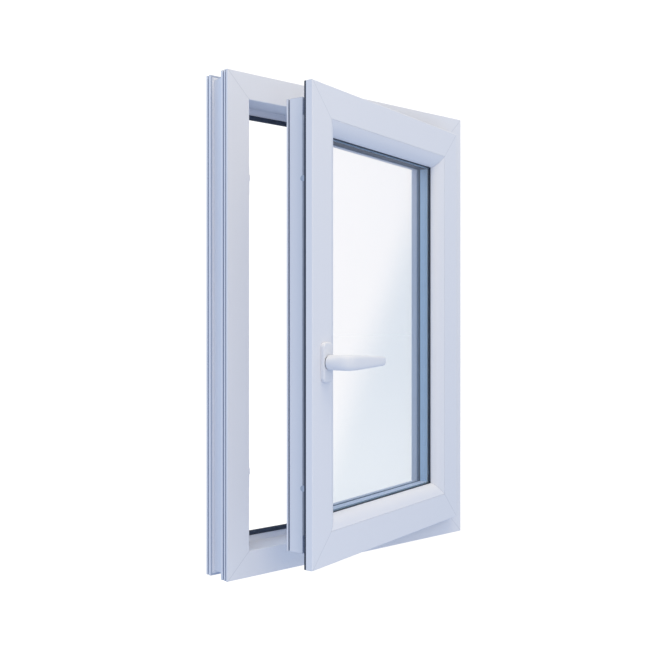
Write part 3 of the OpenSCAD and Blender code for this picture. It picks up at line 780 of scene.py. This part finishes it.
# %% Screws of the frame and the sash
PAN_HEAD = {"Head Radius": 3.4, "Head Height": 1.6, "Shank Radius": 1.9,
            "Shank Length": 9.5, "Slot Width": 0.8}
HINGE_WARD, LOCK_WARD = (1, 0, 0), (-1, 0, 0)
CAM_Z, KEEP_STEPS, KEEP_SEAT = (130, 640), (-9, 27.73), (48.15, 17.8)
HINGE_Z, KNUCKLE = (129, 698), 24
FRAME_LEAF_STEPS, FRAME_LEAF_SEAT = (-8, 16), (551.65, 22)
SASH_LEAF_STEPS, SASH_LEAF_SEAT = (8, 31), (504.4, 41.5)
FACEPLATE_Z, FACEPLATE_SEAT = (64, 733), (20.0, 26.5)

frame_points = [
    ((*KEEP_SEAT, REVEAL + cam + step), HINGE_WARD) for cam in CAM_Z for step in KEEP_STEPS
]
frame_points += [
    ((*FRAME_LEAF_SEAT, z + step), LOCK_WARD) for z in HINGE_Z for step in FRAME_LEAF_STEPS
]
sash_points = [((*FACEPLATE_SEAT, z), LOCK_WARD) for z in FACEPLATE_Z]
sash_points += [
    ((*SASH_LEAF_SEAT, z - REVEAL + KNUCKLE + step), HINGE_WARD)
    for z in HINGE_Z for step in SASH_LEAF_STEPS
]
screws = screw_tree(bright)
as_piece(grown(screws, aimed_points("frame_spots", frame_points), PAN_HEAD),
         "frame_screws", on_frame, bright, "frame",
         ["keep_screws", "hinge_frame_screws"])
as_piece(grown(screws, aimed_points("sash_spots", sash_points), PAN_HEAD),
         "sash_screws", on_sash, bright, "sash",
         ["faceplate_screws", "hinge_sash_screws"])

# %% [markdown]
# The glazing beads are the sloping strips that hold the glass. A bead's shape follows a
# rule: one profile, drawn out along each side and cut at 45 degrees. Cutting on the mitre
# only means that each point of the profile ends as far short of the corner as it lies
# inwards, so the tree extrudes the profile and then moves both ends by that much. Turning
# the two lengths about the depth axis gives all four.

# %% The bead tree
def bead_tree(finish):
    bench = Bench("mitred_beads")
    wide, high, gap = bench.size("Width"), bench.size("Height"), bench.size("Mitre Gap")
    place = bench.node("GeometryNodeInputPosition")
    split = bench.node("ShaderNodeSeparateXYZ", None, {"Vector": place})
    inward, depth, up = [Wire(bench, s) for s in split.socket.node.outputs]

    def strip(length):
        drawn = bench.node(
            "GeometryNodeExtrudeMesh",
            {"mode": "FACES"},
            {"Mesh": bench.shape, "Offset": bench.vector(0, 0, length), "Offset Scale": 1,
             "Individual": False},
        )
        end = bench.node("GeometryNodeFlipFaces", None, {"Mesh": bench.shape})
        whole = bench.node(
            "GeometryNodeMergeByDistance",
            None,
            {"Geometry": bench.joined(drawn, end), "Distance": 0.001},
        )
        short = inward + gap
        share = up / length
        return bench.node(
            "GeometryNodeSetPosition",
            None,
            {"Geometry": whole,
             "Position": bench.vector(inward, depth, short + share * (length - 2 * short))},
        )

    post, rail = strip(high), strip(wide)
    quarter = math.pi / 2
    beads = bench.joined(
        post,
        bench.moved(post, bench.vector(wide, 0, high), (0, 2 * quarter, 0)),
        bench.moved(rail, bench.vector(0, 0, high), (0, quarter, 0)),
        bench.moved(rail, bench.vector(wide, 0, 0), (0, -quarter, 0)),
    )
    return bench.end(beads, finish)


# %% [markdown]
# The profile itself: a small nose against the sash face, a slope towards the glass that
# steepens, and a square back. The slope is a smooth curve through a few measured points,
# which gives a bead its soft band of light.

# %% Glazing beads
BEAD_START, BEAD_NOSE, BEAD_FOOT, BEAD_BACK = 54, 0.08, 24, 19.7
MITRE_GAP = 0.05
BEAD_SLOPE = [(BEAD_NOSE, 0.6), (0.5, 0.3), (1.8, 0.5), (4, 1.3), (8, 2.7), (12, 4.5),
              (15.5, 6.6), (18.5, 9), (21, 11.8), (23, 15), (BEAD_FOOT, 18)]


def smooth_line(points, steps):
    """Points on a smooth curve (Catmull and Rom's) through all the given ones."""
    ends = [points[0], *points, points[-1]]
    line = []
    for a, b, c, d in zip(ends, ends[1:], ends[2:], ends[3:]):
        for k in range(steps):
            t = k / steps
            line.append(tuple(
                0.5 * (2 * q + (r - p) * t + (2 * p - 5 * q + 4 * r - s) * t * t
                       + (3 * q - p - 3 * r + s) * t ** 3)
                for p, q, r, s in zip(a, b, c, d)
            ))
    return line + [points[-1]]


outline = smooth_line(BEAD_SLOPE, 4) + [(BEAD_FOOT, BEAD_BACK), (BEAD_NOSE, BEAD_BACK)]
profile = loose("bead_profile", [(BEAD_START + u, v, 0) for u, v in outline], [],
                [tuple(range(len(outline)))])
beads = grown(bead_tree(sash_plastic), profile,
              {"Width": SASH_W, "Height": SASH_H, "Mitre Gap": MITRE_GAP})
as_piece(beads, "glazing_beads", on_sash, sash_plastic, "sash",
         ["bead_top", "bead_bottom", "bead_left", "bead_right"])

# %% [markdown]
# A spacer bar is punched with a row of tiny holes, so that the drying beads inside it can
# reach the air between the panes. A tree walks along each run of the bar, from one corner
# key to the next, and sets a small dark disc at every step, a hair above the metal.

# %% Pores of the spacer bar
SPACER_IN, SPACER_DEPTH = 81, 34
PORE_PITCH, PORE_RADIUS, PORE_ROWS, PORE_LIFT = 4.5, 0.45, (-2.4, 2.4), 0.04
CORNER_KEY = 6


def pore_tree(finish):
    bench = Bench("punched_pores")
    pitch, radius = bench.size("Pitch"), bench.size("Pore Radius")
    runs = bench.node("GeometryNodeMeshToCurve", None, {"Mesh": bench.shape})
    steps = bench.node(
        "GeometryNodeResampleCurve", {"mode": "LENGTH"}, {"Curve": runs, "Length": pitch}
    )
    pore = bench.node(
        "GeometryNodeMeshCircle", {"fill_type": "NGON"}, {"Vertices": 8, "Radius": radius}
    )
    aim = bench.node(
        "GeometryNodeInputNamedAttribute", {"data_type": "FLOAT_VECTOR"}, {"Name": "aim"}
    )
    turn = bench.node("FunctionNodeAlignRotationToVector", {"axis": "Z"}, {"Vector": aim})
    placed = bench.node(
        "GeometryNodeInstanceOnPoints",
        None,
        {"Points": steps, "Instance": pore, "Rotation": turn},
    )
    return bench.end(placed, finish)


low = SPACER_IN + PORE_LIFT
far_x, far_z = SASH_W - low, SASH_H - low
first = low + CORNER_KEY
last_x, last_z = far_x - CORNER_KEY, far_z - CORNER_KEY
runs = []
for start, stop, way in (
    ((first, low), (last_x, low), (0, 0, 1)),
    ((first, far_z), (last_x, far_z), (0, 0, -1)),
    ((low, first), (low, last_z), (1, 0, 0)),
    ((far_x, first), (far_x, last_z), (-1, 0, 0)),
):
    for row in PORE_ROWS:
        for x, z in (start, stop):
            runs.append(((x, SPACER_DEPTH + row, z), way))
links = [(k, k + 1) for k in range(0, len(runs), 2)]
pores = grown(pore_tree(pore_dark), aimed_points("spacer_runs", runs, links),
              {"Pitch": PORE_PITCH, "Pore Radius": PORE_RADIUS})
as_piece(pores, "spacer_pores", on_sash, pore_dark, "sash", [])

# %% [markdown]
# Pressed and cast metal never has a knife edge. The hinge leaves, the keeps, the lock's
# faceplate and the drain covers are the measured shapes with a small bevel on every sharp
# edge. A measured mesh is loose triangles, so its copy is welded and its flat areas are
# joined into single faces first; the bevel then finds only the true edges. The lips of the
# keeps are also filed down to a low ramp, which lets a cam slide up behind them.

# %% Softened copies of the measured metal
LIP_MIDDLE, RAMP_TOE, RAMP_TOP = 2, 46.9, 49.2
WELD_REACH = 1e-6
FLAT, CRISP = math.radians(0.5), math.radians(40)


def ramped(corner):
    """Brings a corner of a keep's lip down to the ramp."""
    spot = on_frame.inverted() @ corner.co
    spot.x = min(spot.x, RAMP_TOE if spot.y < LIP_MIDDLE else RAMP_TOP)
    corner.co = on_frame @ spot


def softened(name, node, width, finish, body, reshape=None):
    """A measured piece whose sharp edges get a bevel, its width in millimetres. A reshape,
    if there is one, moves every corner first."""
    made = loose(name + "_rough", [], [], [])
    bm = bmesh.new()
    bm.from_mesh(nodes[node].data)
    bmesh.ops.remove_doubles(bm, verts=bm.verts, dist=WELD_REACH)
    if reshape:
        for corner in bm.verts:
            reshape(corner)
    bmesh.ops.dissolve_limit(bm, angle_limit=FLAT, verts=bm.verts, edges=bm.edges)
    bm.to_mesh(made.data)
    bm.free()
    bevel = made.modifiers.new("soften", "BEVEL")
    bevel.width = width * MM
    bevel.segments = 2
    bevel.limit_method = "ANGLE"
    bevel.angle_limit = CRISP
    bevel.use_clamp_overlap = True
    return as_piece(made, name, Matrix.Identity(4), finish, body, [node])


softened("hinge_leaves_frame", "hinge_frame_leaves", 0.3, hinge_paint, "frame")
softened("hinge_leaves_sash", "hinge_sash_leaves", 0.3, hinge_paint, "sash")
softened("lock_keeps", "keeps", 0.3, hinge_paint, "frame", ramped)
softened("faceplate", "lock_faceplate", 0.2, shaded_plate_zinc, "sash")
softened("drain_covers", "drain_caps", 0.5, cap_white, "frame")

# %% [markdown]
# A plain white studio. The air itself gives a soft cool light from all round, and rays
# that go straight from the camera see plain white. One large warm soft box stands behind
# the camera and one hangs above, so that faces turned to the room are lighter and warmer
# than the sides. A cool one behind the window lights its outside, and a faint glow near
# the floor reaches the lower lock corner.

# %% Light all round
AIR = (0.55, 0.642, 0.81)
BACKDROP = 1.12


def studio_air():
    world = bpy.data.worlds.new("studio_air")
    bpy.context.scene.world = world
    world.use_nodes = True
    air = Tree(world.node_tree)
    air.tree.nodes.clear()
    seen = air.node("ShaderNodeLightPath", out="Is Camera Ray")
    light = air.node("ShaderNodeBackground", None, {"Color": (*AIR, 1), "Strength": 1})
    white = air.node("ShaderNodeBackground", None, {"Color": (1, 1, 1, 1), "Strength": BACKDROP})
    both = air.node("ShaderNodeMixShader", None, {0: seen, 1: light, 2: white})
    air.node("ShaderNodeOutputWorld", None, {"Surface": both}, out=slice(0))


studio_air()
bpy.context.scene.view_settings.view_transform = "Standard"


# %% Soft boxes
def soft_box(name, place, target, side, watts, colour, seen):
    """A square lamp aimed at a target; one that isn't seen shows in no mirror either."""
    data = bpy.data.lights.new(name, "AREA")
    data.shape = "RECTANGLE"
    data.size = data.size_y = side
    data.energy = watts
    data.color = colour
    light = bpy.data.objects.new(name, data)
    light.location = place
    aim = Vector(target) - Vector(place)
    light.visible_camera = light.visible_glossy = seen
    light.rotation_euler = aim.to_track_quat("-Z", "Y").to_euler()
    bpy.context.scene.collection.objects.link(light)
    print("light", name, watts, "W")


WINDOW_MIDDLE, LOCK_CORNER = (0, 0, 0.44), (-0.2, 0, 0.15)
SOFT_BOXES = [
    # name, place, target, side, watts, colour, seen
    ("key_soft_box", (-1.4, -4.5, 1.7), WINDOW_MIDDLE, 2.4, 33, (1.0, 0.71, 0.26), True),
    ("top_soft_box", (-0.3, -1.2, 3.6), WINDOW_MIDDLE, 2.4, 65, (1.0, 0.83, 0.50), True),
    ("back_soft_box", (-2.0, 3.2, 2.6), WINDOW_MIDDLE, 2.4, 25, (0.75, 0.86, 1.0), True),
    ("low_bounce", (-0.7, -0.8, 0.02), LOCK_CORNER, 0.6, 0.7, (0.9, 0.95, 1), False),
]
for row in SOFT_BOXES:
    soft_box(*row)

# %% [markdown]
# The floor is matt and pale. It glows by just as much as it fails to reflect of the air's
# light, so that it meets the white behind it without a line, and only the window's own
# soft shadow shows on it. It takes no part in lighting the window.

# %% Floor
FLOOR_PAINT, MOTTLE = 0.25, 0.02
FLOOR_HALF, FLOOR_Z = 30, -0.0006


def pale_floor():
    mix = Mix("pale_floor")
    place, _ = along(mix, False)
    mottle = noise(mix, place, (1, 1, 1), 30)
    darker, paler = FLOOR_PAINT * (1 - MOTTLE), FLOOR_PAINT * (1 + MOTTLE)
    grey = tinted(mix, mottle, (darker,) * 3, (paler,) * 3)
    paint = mix.node("ShaderNodeBsdfDiffuse", None, {"Color": grey})
    glow = mix.node(
        "ShaderNodeEmission",
        None,
        {"Color": (*[(BACKDROP - FLOOR_PAINT * c) / BACKDROP for c in AIR], 1),
         "Strength": BACKDROP},
    )
    return mix.finish(mix.node("ShaderNodeAddShader", None, {0: paint, 1: glow}))


floor_corners = [
    (x * FLOOR_HALF, y * FLOOR_HALF, FLOOR_Z) for x, y in ((-1, -1), (1, -1), (1, 1), (-1, 1))
]
floor = loose("studio_floor", floor_corners, [], [(0, 1, 2, 3)])
floor.data.materials.append(pale_floor())
floor.visible_diffuse = False
floor.visible_glossy = False
